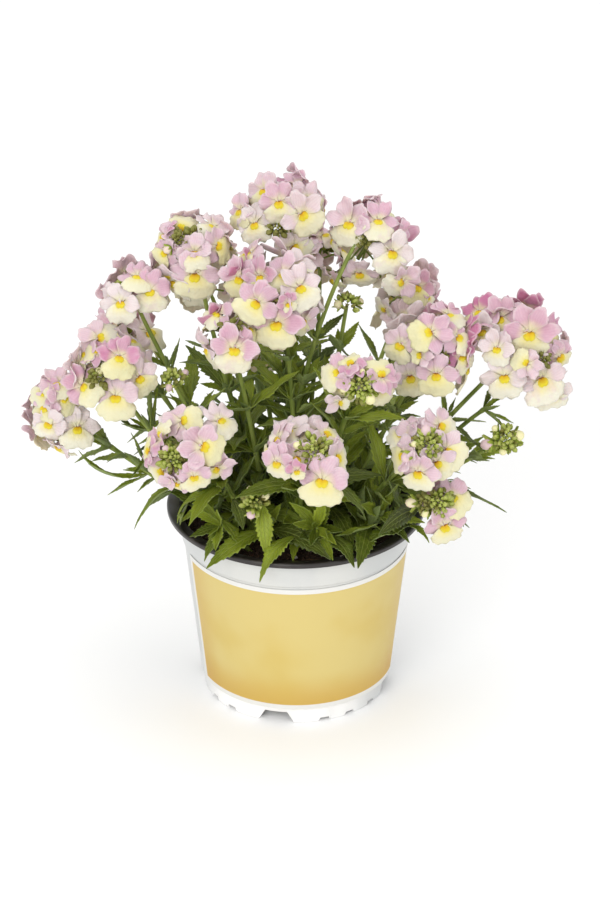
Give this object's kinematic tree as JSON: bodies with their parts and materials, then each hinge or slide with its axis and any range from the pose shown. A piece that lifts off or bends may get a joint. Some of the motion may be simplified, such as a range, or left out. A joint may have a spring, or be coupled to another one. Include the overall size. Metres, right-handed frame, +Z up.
{
  "type": "potted nemesia",
  "caption": "Nemesia in full bloom, lilac and pale yellow flower heads on branching leafy stems, standing in a white nursery pot with a plain yellow label.",
  "frame": {"origin": "on the ground, in the middle of the pot's foot ring", "axes": "+Z up, +X to the right and -Y towards the viewer of the picture, in front of the label"},
  "size_m": [0.2712, 0.1616, 0.2664],
  "materials": {
    "pot": "satin",
    "label": "satin",
    "stake": "matte",
    "soil": "matte",
    "leaf": "satin",
    "petal": "matte"
  },
  "bodies": {
    "root": {"pot": "pot", "label": "label", "stake": "stake", "soil": "soil", "stem_01": "leaf", "stem_02": "leaf", "stem_03": "leaf", "stem_04": "leaf", "stem_05": "leaf", "stem_06": "leaf", "stem_07": "leaf", "stem_08": "leaf", "stem_09": "leaf", "stem_10": "leaf", "stem_11": "leaf", "stem_12": "leaf", "stem_13": "leaf", "stem_14": "leaf", "stem_15": "leaf", "stem_16": "leaf", "stem_17": "leaf", "stem_18": "leaf", "stem_19": "leaf", "stem_20": "leaf", "stem_21": "leaf", "stem_22": "leaf", "shoot_23": "leaf", "shoot_24": "leaf", "shoot_25": "leaf", "shoot_26": "leaf", "shoot_27": "leaf", "shoot_28": "leaf", "shoot_29": "leaf", "shoot_30": "leaf", "head_01": "petal", "head_02": "petal", "head_03": "petal", "head_04": "petal", "head_05": "petal", "head_06": "petal", "head_07": "petal", "head_08": "petal", "head_09": "petal", "head_10": "petal", "head_11": "petal", "head_12": "petal", "head_13": "petal", "head_14": "petal", "head_15": "petal", "head_16": "petal", "head_17": "petal", "head_18": "petal", "head_19": "petal", "head_20": "petal", "head_21": "petal", "head_22": "petal"}
  },
  "joints": []
}
